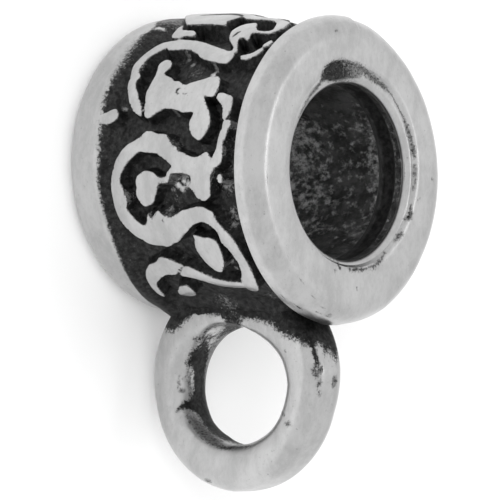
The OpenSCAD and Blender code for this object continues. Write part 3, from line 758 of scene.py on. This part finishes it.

# Marks on the front face and on the loop's near side: tarnish, and on the face one painted shade. Each has
# the share by which its tarnish is thinned, how ragged its border is, then its rows: an outline's, or with
# a half width as a third number a stroke's.
# On the face they are y and x where the line of sight meets its plane.
faceMarks = {
    "pocket": (0.54, 0.06, [
        [-1.62, -2.34], [-1.54, -2.62], [-1.3, -2.84], [-1, -2.95], [-0.7, -2.99], [-0.3, -2.9],
        [-0.2, -2.6], [-0.35, -2.46], [-0.64, -2.42], [-1.1, -2.35]
    ]),
    "pocketSide": (0.95, 0.13, [
        [-0.8, -3], [-0.5, -3], [0, -2.96], [0.3, -2.86], [0.3, -2.74], [0.08, -2.6], [-0.2, -2.5],
        [-0.5, -2.44], [-0.7, -2.6]
    ]),
    "tail": (0.82, 0.12, [
        [0.05, -2.86, 0.11], [0.35, -2.75, 0.1], [0.65, -2.64, 0.1], [0.95, -2.53, 0.09],
        [1.3, -2.4, 0.05]
    ]),
    "thread": (0.92, 0.05, [
        [1.27, -2.41, 0.03], [1.55, -2.23, 0.025], [1.82, -1.95, 0.025], [2.05, -1.73, 0.03],
        [2.16, -1.6, 0.04]
    ]),
    "bend": (0.84, 0.1, [
        [2.12, -1.65, 0.04], [2.28, -1.42, 0.065], [2.42, -1.2, 0.085], [2.52, -1, 0.065],
        [2.6, -0.8, 0.095], [2.64, -0.6, 0.06]
    ]),
    "sideA": (0.97, 0.06, [[2.65, -0.42, 0.04], [2.66, 0, 0.03], [2.64, 0.36, 0.03]]),
    "sideB": (0.95, 0.06, [[2.73, -0.4, 0.03], [2.76, -0.05, 0.04], [2.72, 0.3, 0.03]]),
    "patch": (0.72, 0.09, [
        [2.61, 0.9, 0.04], [2.58, 1.05, 0.11], [2.48, 1.14, 0.08], [2.36, 1.19, 0.04]
    ]),
    "patchTail": (0.75, 0.04, [[2.58, 0.75, 0.03], [2.57, 0.95, 0.035]]),
    "dust": (0.92, 0.12, [[1.9, 1.8, 0.04], [2.1, 1.7, 0.07], [2.25, 1.58, 0.05]]),
    "lowA": (0.6, 0.09, [
        [1.5, 2.2, 0.03], [1.42, 2.32, 0.04], [1.28, 2.45, 0.045], [1.12, 2.58, 0.065],
        [0.9, 2.66, 0.055], [0.7, 2.7, 0.03]
    ]),
    "lowB": (0.55, 0.08, [
        [0.78, 2.7, 0.04], [0.6, 2.73, 0.05], [0.4, 2.73, 0.055], [0.2, 2.74, 0.05], [0.05, 2.76, 0.04],
        [-0.1, 2.74, 0.03]
    ]),
    "nickA": (0.6, 0.03, [[-0.57, 2.62, 0.035], [-0.48, 2.72, 0.04], [-0.4, 2.82, 0.03]]),
    "nickB": (0.7, 0.03, [[-0.7, 2.82, 0.045], [-0.6, 2.88, 0.035]]),
    "dot": (0.7, 0.02, [[0.29, 3.24, 0.04], [0.34, 3.3, 0.045]]),
    "topDot": (0.93, 0.04, [[-1.08, -3.72, 0.05], [-1, -3.78, 0.04]]),
    "sideDot": (0.93, 0.04, [[3.51, -0.07, 0.05], [3.57, -0.01, 0.05]]),
    "scratch": (0.96, 0.02, [[2.86, 0.62, 0.02], [3.06, 0.5, 0.02]]),
    "lipLineA": (0.93, 0.02, [[2.26, -0.42, 0.02], [2.28, -0.15, 0.025], [2.27, 0.08, 0.02]]),
    # Painted shade: a grey line hugging the mouth's upper left, where the lip's rounding turns into shade.
    "mouthPaintedShade": (0.88, 0.05, [
        [-2.55, -0.9, 0.02], [-2.47, -1.15, 0.03], [-2.33, -1.45, 0.04], [-2.05, -1.85, 0.05],
        [-1.7, -2.2, 0.06], [-1.52, -2.4, 0.06]
    ]),
    "mouthFoot": (0.9, 0.03, [[-1.1, 2.42, 0.02], [-0.8, 2.53, 0.025], [-0.5, 2.6, 0.02]]),
    "edgeLine": (0.97, 0.03, [
        [-2.81, 2.44, 0.015], [-2.29, 2.99, 0.018], [-1.69, 3.5, 0.018], [-1.17, 3.84, 0.02],
        [-0.58, 4.13, 0.015]
    ]),
    "smudgeA": (0.95, 0.06, [[-1.42, 4, 0.04], [-1.3, 4.07, 0.05], [-1.2, 4.1, 0.03]]),
    "smudgeB": (0.96, 0.07, [[-0.95, 4.12, 0.04], [-0.8, 4.16, 0.05]]),
    "smudgeC": (0.97, 0.06, [[-0.3, 4.22, 0.03], [-0.12, 4.24, 0.03]]),
    "rimScratch": (0.88, 0.03, [[-3.77, -0.3, 0.02], [-3.74, 0.2, 0.03], [-3.67, 0.66, 0.025]]),
}
# On the loop they are z and x where the line of sight meets the plane of the bar's near side.
loopMarks = {
    "rootLeft": (0.3, 0.14, [
        [0.6, 3.4], [0.9, 4.3], [1.1, 4.6], [1.3, 4.64], [1.52, 4.56], [1.72, 4.4], [2.03, 4.2],
        [2.14, 4.1], [2.5, 4.08], [2.8, 4.12], [3.3, 4.14], [4.4, 4.12], [4.6, 3.9], [4.4, 3.3], [2, 3]
    ]),
    "rootFoot": (0.62, 0.14, [
        [3, 3.6], [3.2, 4.05], [3.36, 4.34], [3.24, 4.5], [3.04, 4.66], [2.95, 4.78], [3.1, 4.84],
        [3.45, 4.7], [3.8, 4.55], [3.98, 4.42], [3.95, 4.2], [3.95, 3.6]
    ]),
    "hairline": (0.82, 0.05, [
        [3.4, 4.39, 0.03], [3.1, 4.41, 0.04], [2.87, 4.46, 0.04], [2.64, 4.57, 0.045], [2.5, 4.71, 0.04]
    ]),
    "leftTop": (0.66, 0.14, [[2.2, 4.82, 0.05], [2.45, 4.8, 0.09], [2.7, 4.76, 0.07], [2.95, 4.7, 0.06]]),
    "leftHead": (0.12, 0.13, [
        [2.56, 4.78], [2.36, 4.98], [2.12, 5.1], [1.98, 5.22], [2, 5.36], [1.88, 5.46], [1.92, 5.58],
        [2.1, 5.64], [2.22, 5.8], [2.5, 5.75], [2.62, 5.3], [2.78, 4.95]
    ]),
    "leftWall": (0.15, 0.08, [
        [2.2, 5.6], [2.21, 6], [2.18, 6.4], [2.06, 6.56], [1.86, 6.64], [1.7, 6.76], [1.62, 6.94],
        [1.84, 6.88], [2.1, 6.86], [2.38, 6.97], [2.6, 7.18], [2.88, 7.44], [3.25, 7.62], [3.7, 7.72],
        [4.15, 7.78], [4.2, 7.66], [3.7, 7.5], [3.2, 7.2], [2.86, 6.75], [2.7, 6.2], [2.68, 5.7],
        [2.8, 5.1], [2.6, 5.05], [2.4, 5.3]
    ]),
    "edgeVeil": (1.5, 0.04, [
        [3.6, 4.6, 0.05], [3.26, 4.8, 0.1], [2.98, 4.98, 0.13], [2.82, 5.25, 0.13], [2.73, 5.5, 0.1],
        [2.7, 5.8, 0.09], [2.7, 6.2, 0.09], [2.76, 6.55, 0.09], [2.88, 6.88, 0.08], [3.1, 7.18, 0.07],
        [3.5, 7.48, 0.05]
    ]),
    "wallVeil": (1.2, 0.05, [[1.98, 5.7, 0.05], [2.06, 6, 0.07], [2.1, 6.3, 0.08], [2.14, 6.5, 0.07]]),
    "speckA": (1.2, 0.06, [[1.68, 5.92, 0.04], [1.66, 6.1, 0.05], [1.72, 6.3, 0.06], [1.9, 6.32, 0.05]]),
    "speckB": (1.2, 0.06, [[1.9, 5.94, 0.05], [1.94, 6.06, 0.05]]),
    "low": (0.8, 0.05, [
        [2.3, 7.34, 0.05], [2.64, 7.6, 0.065], [2.98, 7.75, 0.075], [3.42, 7.86, 0.065],
        [3.87, 7.86, 0.05], [4.2, 7.83, 0.04], [4.53, 7.76, 0.03]
    ]),
    "lowVeil": (1.35, 0.09, [
        [2, 7, 0.05], [2.2, 7.14, 0.12], [2.5, 7.32, 0.18], [2.85, 7.54, 0.16], [3.15, 7.68, 0.1],
        [3.4, 7.72, 0.06]
    ]),
    "lowRim": (0.7, 0.03, [[3.6, 7.6, 0.04], [3.95, 7.68, 0.04], [4.35, 7.7, 0.03]]),
    "rootRight": (0.2, 0.16, [
        [3.8, 3.4], [3.86, 4.16], [4.3, 4.2], [4.6, 4.26], [5, 4.34], [5.2, 4.45], [5.45, 4.58],
        [5.65, 4.68], [5.95, 4.76], [6.3, 4.88], [6.5, 4.94], [6.66, 5.02], [6.84, 4.86], [7, 4.96],
        [7.1, 5.18], [7.2, 5.04], [7.4, 5.18], [7.6, 5.2], [7.6, 3.6], [6, 3]
    ]),
    "tongue": (0.2, 0.05, [[6.66, 4.95, 0.1], [6.75, 5.2, 0.09], [6.86, 5.44, 0.065]]),
    "tongueFoot": (0.88, 0.1, [
        [6.68, 5.5, 0.07], [6.78, 5.7, 0.1], [6.9, 5.62, 0.11], [6.98, 5.5, 0.07]
    ]),
    "drop": (0.82, 0.06, [[6.97, 5.84, 0.04], [6.92, 5.95, 0.08], [6.85, 6.03, 0.04]]),
    "dropB": (0.93, 0.1, [[6.92, 6.16, 0.06], [6.96, 6.24, 0.06]]),
    "edgeSpot": (0.9, 0.05, [[7.5, 5.72, 0.07], [7.5, 5.86, 0.11], [7.46, 6, 0.07]]),
    "rightA": (0.95, 0.06, [[5.62, 6.78, 0.05], [5.66, 6.86, 0.055]]),
    "rightB": (0.96, 0.08, [[5.78, 7.1, 0.05], [5.88, 7.08, 0.07], [5.93, 7.12, 0.05]]),
    "rightC": (0.9, 0.03, [[5.62, 5.06, 0.03], [5.66, 5.1, 0.03]]),
    "bottomSpot": (0.92, 0.05, [[2.86, 8.8, 0.03], [2.96, 8.83, 0.05], [3.08, 8.85, 0.04]]),
}


# The deepest mark at each point, and the means of the marks' raggedness and thinning. Each mark weighs
# e^(distance into it / blend) in them. A share above 1 lets a mark win over its neighbours.
def markFields(u, v, marks, blend=0.07, deepest=0.25):
    best = np.full(u.shape, farAway)
    weights, ragged, thin = (np.zeros(u.shape) for _ in range(3))
    for share, hair, rows in marks.values():
        deep = strokeDistance(u, v, rows) if len(rows[0]) == 3 else outlineDistance(u, v, rows)
        weight = np.exp(np.minimum(deep, deepest) / blend)
        weights, ragged, thin = weights + weight, ragged + weight * hair, thin + weight * share
        best = np.maximum(best, deep)
    return best, ragged / weights, thin / weights


# The strongest of several soft spots at each point, strength * e^(-distance^2 / size^2), or least.
def softSpots(u, v, spots, least):
    best = least + 0 * u
    for su, sv, size, strength in spots:
        best = np.maximum(best, strength * np.exp(-((u - su) ** 2 + (v - sv) ** 2) / size ** 2))
    return best


# The band's tarnish ends at the scrolls, the rubbed spots and both rims, whichever is nearest, and each of
# them has its own raggedness. The dark pits lie in the bright metal.
def bandTarnish(place, z, p=tarnish):
    at, backHigh, backRagged = np.array(p["backBorder"]).T
    backGap, backRagged = np.interp(place, at, backHigh) - z, np.interp(place, at, backRagged)
    scroll = scrollDistance(place, z)
    worn = softSpots(place, z, p["wornEdges"], p["scrollRagged"])
    outside = p["outsideWeight"] / (1 + p["wornWeight"] * (worn - p["scrollRagged"]))
    scroll = np.where(scroll < 0, outside * scroll, scroll)
    edges = np.stack([scroll, deepestStroke(place, z, rubbedSpots), z - p["frontBorder"], backGap])
    soil = np.maximum(-edges.max(0), deepestStroke(place, z, darkPits))
    rubbed, front = np.full_like(z, p["rubbedRagged"]), np.full_like(z, p["frontRagged"])
    ragged = np.choose(edges.argmax(0), [worn, rubbed, front, backRagged])
    fade = np.exp(-np.maximum(-backGap, 0) / p["borderThinWidth"])
    thin = np.maximum(p["thinLeast"], p["borderThin"] * backRagged * fade)
    return soil, ragged, softSpots(place, z, p["thinSpots"], thin)


# Fields where a part of the skin has its own rule, and the old ones elsewhere.
def laidOver(where, new, old):
    return tuple(np.where(where, n, o) for n, o in zip(new, old))


# Four fields over the skin: millimetres into the tarnish (minus on bright metal), how ragged its border
# is, how thin the tarnish is, and how much painted light lightens the tarnish in the bore, which sees
# little light. Every part of the skin has its own rule.
def tarnishFields(points, p=tarnish):
    x, y, z = points.T
    radius = np.hypot(x, y)
    place = barrel["chartRadius"] * (math.pi - np.abs(np.arctan2(y, x + leanAt(z))))
    fields = bandTarnish(place, z)

    boreRadius, top = barrel["boreRadius"], barrel["length"]
    bore = (radius < boreRadius + p["boreSkin"]) & (z < top - barrel["stepDepth"] - p["seam"])
    backMouth = boreRadius + p["backMouthSkin"] - radius + (z > p["backMouthHigh"])
    boreHeight, boreThin, borePaintedLightShare = np.array(p["boreTable"]).T
    sides = 1 - p["boreSidesShare"] * smoothRise(np.abs(x), *p["boreSides"])
    boreThin = np.interp(z, boreHeight, boreThin) * sides
    boreFields = (np.minimum(p["mouthHigh"] - z, backMouth), p["boreRagged"], boreThin)
    fields = laidOver(bore, boreFields, fields)

    deep = top - z
    face = (deep < p["faceDepth"]) & (radius > boreRadius - p["faceReach"])
    face &= ~(bore & (z < p["mouthHigh"]))
    marked = markFields(y + p["sightY"] * deep, x + p["sightX"] * deep, faceMarks)
    fields = laidOver(face, marked, fields)
    backFace = (z < p["backFaceHigh"]) & (radius < barrel["rimRadius"])
    fields = laidOver(backFace, (p["backFaceSoil"], *fields[1:]), fields)

    # The loop's far face carries the same marks as the near one. The hole's wall and the outer wall that
    # turns to the front are seen past their middle, so they carry their own.
    onLoop = (x > 0) & (ringDistance(x, y, z) < p["loopReach"])
    onLoop &= radius > barrel["bandRadius"] + p["loopFoot"]
    away = np.hypot(x - loop["middleX"], z - loop["middleZ"])
    wall = (away < loop["holeRadius"] + p["holeWall"])
    wall |= (away > loop["outerRadius"] - p["outerWall"]) & (z > p["outerWallLow"])
    side = np.where(wall, y, -np.abs(y))
    marked = markFields(z + p["sightSlope"] * (side + loop["halfThickness"]), x, loopMarks)
    soil, ragged, thin = laidOver(onLoop, marked, fields)
    # The last field is the bore's share times the painted light that lightens its tarnish.
    return soil, ragged, np.clip(thin, 0, 1), bore * np.interp(z, boreHeight, borePaintedLightShare)


def setAttribute(mesh, name, values):
    layer = mesh.attributes.new(name, "FLOAT", "POINT")
    layer.data.foreach_set("value", np.asarray(values, np.float32))


count = len(bail.data.vertices)
spots = np.empty(count * 3)
bail.data.vertices.foreach_get("co", spots)
spots = spots.reshape(-1, 3) / mm
# The "bore" attribute carries the painted light that lightens the bore's tarnish, and the run of its grain.
for name, values in zip(("soil", "ragged", "thin", "bore"), tarnishFields(spots)):
    setAttribute(bail.data, name, values)
print("tarnish charted")


# Short ways to place a node with its settings, and to feed a socket with a value or another node's output.
def addNode(tree, kind, **settings):
    node = tree.nodes.new(kind)
    for name, value in settings.items():
        setattr(node, name, value)
    return node


def feed(tree, socket, value):
    if isinstance(value, bpy.types.NodeSocket):
        tree.links.new(value, socket)
    else:
        socket.default_value = value


def mathNode(tree, operation, a, b):
    node = addNode(tree, "ShaderNodeMath", operation=operation)
    feed(tree, node.inputs[0], a)
    feed(tree, node.inputs[1], b)
    return node.outputs[0]


# A Mix node has two inputs and an output of its own for each kind of value.
mixSockets = {"RGBA": (6, 7, 2), "VECTOR": (4, 5, 1)}


def mixNode(tree, kind, share, a, b):
    node = addNode(tree, "ShaderNodeMix", data_type=kind)
    first, second, result = mixSockets[kind]
    for number, value in ((0, share), (first, a), (second, b)):
        feed(tree, node.inputs[number], value)
    return node.outputs[result]


def noiseNode(tree, vector, size, detail, roughness):
    node = addNode(tree, "ShaderNodeTexNoise")
    for name, value in (("Scale", 1 / (size * mm)), ("Detail", detail), ("Roughness", roughness),
                        ("Vector", vector)):
        feed(tree, node.inputs[name], value)
    return node.outputs["Fac"]


def attributeNode(tree, name):
    return addNode(tree, "ShaderNodeAttribute", attribute_name=name).outputs["Fac"]


def rampNode(tree, value, low, high):
    node = addNode(tree, "ShaderNodeMapRange", interpolation_type="SMOOTHSTEP")
    for name, value in (("From Min", low), ("From Max", high), ("Value", value)):
        feed(tree, node.inputs[name], value)
    return node.outputs["Result"]


def scaledPlace(tree, place, scale):
    node = addNode(tree, "ShaderNodeMapping")
    node.inputs["Scale"].default_value = scale
    tree.links.new(place, node.inputs["Vector"])
    return node.outputs["Vector"]


def grey(level):
    return (level, level, level, 1)


finish = {
    "bright": 0.53,
    "brightLow": 0.405,
    "pit": 0.25,
    "dark": 0.02,
    "darkHigh": 0.06,
    "shownThrough": 0.27,   # the metal that shows through thin tarnish
    # Painted light: the bore sees little light, so its tarnish and the metal showing through are painted
    # lighter.
    "boreShownThroughPaintedLight": 1.0,
    "borePaintedLightFactor": 4.8,        # the bore sees little light, so its tarnish is lighter by this factor
    "brightRoughness": 0.3,
    "darkRoughness": 0.6,
    "borderSwing": 5.0,
    "borderSoftness": 30.0,
    "border": (-0.012, 0.018),  # mm into the tarnish over which bright metal turns dark
    "thinShare": 0.6,
    "pitShare": 0.8,
    "bump": 0.5,
    "bumpHeight": 0.02,
    # each noise: size in mm, detail, roughness
    "borderNoise": (0.08, 5, 0.8),
    "mottleNoise": (0.16, 5, 0.7),
    "speckNoise": (0.07, 3, 0.7),
    "cloudNoise": (1.1, 9, 0.8),
    "pitNoise": (0.09, 3, 0.65),
    "grainNoise": (0.09, 4, 0.55),
    # how much finer a grain is along x, y and z
    "borderGrain": (1, 1, 0.9),
    "cloudGrain": (0.6, 1, 1.3),
    "boreGrain": (0.36, 0.36, 0.28),
    # the levels of each noise between which its effect sets in
    "mottle": (0.35, 0.7),
    "speck": (0.86, 1.16),
    "cloud": (0.34, 0.66),
    "pits": (0.63, 0.76),
}


# Antiqued silver: tarnish where the soil field plus ragged noise is above nothing, mottled and with
# specks where it is thin, painted lighter in the bore as painted light, and bright metal with faint clouds
# and pits elsewhere.
def silverMaterial(p=finish):
    material = bpy.data.materials.new("antiquedSilver")
    material.use_nodes = True
    tree = material.node_tree
    tree.nodes.clear()
    place = addNode(tree, "ShaderNodeTexCoord").outputs["Object"]
    soil, ragged, thin, bore = (attributeNode(tree, name) for name in ("soil", "ragged", "thin", "bore"))

    # In the bore the grain is coarser and runs along its length.
    grainPlace = mixNode(tree, "VECTOR", bore, place, scaledPlace(tree, place, p["boreGrain"]))

    # A ragged border is also a soft one: the field is divided by 1 + softness * ragged.
    edgeNoise = noiseNode(tree, scaledPlace(tree, place, p["borderGrain"]), *p["borderNoise"])
    swing = mathNode(tree, "MULTIPLY", mathNode(tree, "SUBTRACT", edgeNoise, 0.5), p["borderSwing"])
    field = mathNode(tree, "ADD", soil, mathNode(tree, "MULTIPLY", swing, ragged))
    width = mathNode(tree, "ADD", mathNode(tree, "MULTIPLY", ragged, p["borderSoftness"]), 1.0)
    dark = rampNode(tree, mathNode(tree, "DIVIDE", field, width), *p["border"])

    mottle = rampNode(tree, noiseNode(tree, grainPlace, *p["mottleNoise"]), *p["mottle"])
    mottled = mixNode(tree, "RGBA", mottle, grey(p["dark"]), grey(p["darkHigh"]))
    # Painted light: in the bore the tarnish's colour is scaled by 1 + bore * (factor - 1), for light it
    # doesn't get.
    paintedBoreLift = addNode(tree, "ShaderNodeVectorMath", operation="SCALE")
    feed(tree, paintedBoreLift.inputs[0], mottled)
    factor = mathNode(tree, "ADD", mathNode(tree, "MULTIPLY", bore, p["borePaintedLightFactor"] - 1), 1.0)
    feed(tree, paintedBoreLift.inputs["Scale"], factor)

    # Where the tarnish is thin, metal shows through it in specks: noise above about 1 - share * thin.
    speckField = mathNode(tree, "ADD", noiseNode(tree, grainPlace, *p["speckNoise"]),
                          mathNode(tree, "MULTIPLY", thin, p["thinShare"]))
    # Painted light: in the bore the metal showing through the tarnish is painted brighter than the bright
    # metal.
    shown = mixNode(tree, "RGBA", bore, grey(p["shownThrough"]), grey(p["boreShownThroughPaintedLight"]))
    speck = rampNode(tree, speckField, *p["speck"])
    darkColour = mixNode(tree, "RGBA", speck, paintedBoreLift.outputs["Vector"], shown)

    cloudNoise = noiseNode(tree, scaledPlace(tree, place, p["cloudGrain"]), *p["cloudNoise"])
    cloud = rampNode(tree, cloudNoise, *p["cloud"])
    clouded = mixNode(tree, "RGBA", cloud, grey(p["brightLow"]), grey(p["bright"]))
    pit = rampNode(tree, noiseNode(tree, place, *p["pitNoise"]), *p["pits"])
    pitShare = mathNode(tree, "MULTIPLY", pit, p["pitShare"])
    brightColour = mixNode(tree, "RGBA", pitShare, clouded, grey(p["pit"]))

    roughness = addNode(tree, "ShaderNodeMapRange")
    for name, value in (("To Min", p["brightRoughness"]), ("To Max", p["darkRoughness"]), ("Value", dark)):
        feed(tree, roughness.inputs[name], value)

    grain = noiseNode(tree, place, *p["grainNoise"])
    bump = addNode(tree, "ShaderNodeBump")
    for name, value in (("Strength", p["bump"]), ("Distance", p["bumpHeight"] * mm),
                        ("Height", mathNode(tree, "MULTIPLY", grain, dark))):
        feed(tree, bump.inputs[name], value)

    shader = addNode(tree, "ShaderNodeBsdfPrincipled")
    colour = mixNode(tree, "RGBA", dark, brightColour, darkColour)
    for name, value in (("Metallic", 1.0), ("Base Color", colour),
                        ("Roughness", roughness.outputs["Result"]), ("Normal", bump.outputs["Normal"])):
        feed(tree, shader.inputs[name], value)
    out = addNode(tree, "ShaderNodeOutputMaterial")
    tree.links.new(shader.outputs["BSDF"], out.inputs["Surface"])
    return material


bail.data.materials.clear()
bail.data.materials.append(silverMaterial())
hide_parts("bail")
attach(bail, "root")
print("bail dressed")

room = {
    "floorSize": 600.0,
    "floorColour": 0.97,
    "floorCloud": 0.01,     # how much that varies
    "floorNoise": (60.0, 2, 0.55),
    "floorRoughness": 0.9,
    "floorGloss": 0.1,
    "skyStrength": 1.0,
    # power, length, width and place of each lamp, and whether the metal mirrors it
    "lamps": {
        "strip": (0.012, 40.0, 14.0, (-26.0, 130.0, 190.0), True),
        "fill": (0.25, 180.0, 180.0, (-40.0, -170.0, 130.0), False),
    },
}


def floorMaterial(p=room):
    material = bpy.data.materials.new("paleFloor")
    material.use_nodes = True
    tree = material.node_tree
    shader = tree.nodes["Principled BSDF"]
    place = addNode(tree, "ShaderNodeTexCoord").outputs["Object"]
    cloud = noiseNode(tree, place, *p["floorNoise"])
    low, high = p["floorColour"] - p["floorCloud"], p["floorColour"] + p["floorCloud"]
    for name, value in (("Base Color", mixNode(tree, "RGBA", cloud, grey(low), grey(high))),
                        ("Roughness", p["floorRoughness"]), ("Specular IOR Level", p["floorGloss"])):
        feed(tree, shader.inputs[name], value)
    return material


def addRoom(p=room):
    half = p["floorSize"] / 2 * mm
    mesh = bpy.data.meshes.new("floor")
    corners = [(-half, -half, 0), (half, -half, 0), (half, half, 0), (-half, half, 0)]
    mesh.from_pydata(corners, [], [(0, 1, 2, 3)])
    mesh.materials.append(floorMaterial())
    floor = addObject("floor", mesh)

    world = bpy.data.worlds.new("studio")
    world.use_nodes = True
    sky = world.node_tree.nodes["Background"]
    sky.inputs["Color"].default_value = grey(1)
    sky.inputs["Strength"].default_value = p["skyStrength"]
    bpy.context.scene.world = world

    for name, (power, length, width, place, mirrored) in p["lamps"].items():
        data = bpy.data.lights.new(name, "AREA")
        data.shape = "RECTANGLE"
        data.size, data.size_y = length * mm, width * mm
        data.energy = power
        lamp = bpy.data.objects.new(name, data)
        place = Vector(place) * mm
        turn = (-place).to_track_quat("-Z", "Y").to_matrix().to_4x4()
        lamp.matrix_world = Matrix.Translation(place) @ turn
        lamp.visible_glossy = mirrored
        bpy.context.scene.collection.objects.link(lamp)


addRoom()
bpy.context.scene.view_settings.view_transform = "Standard"
print("room lit")
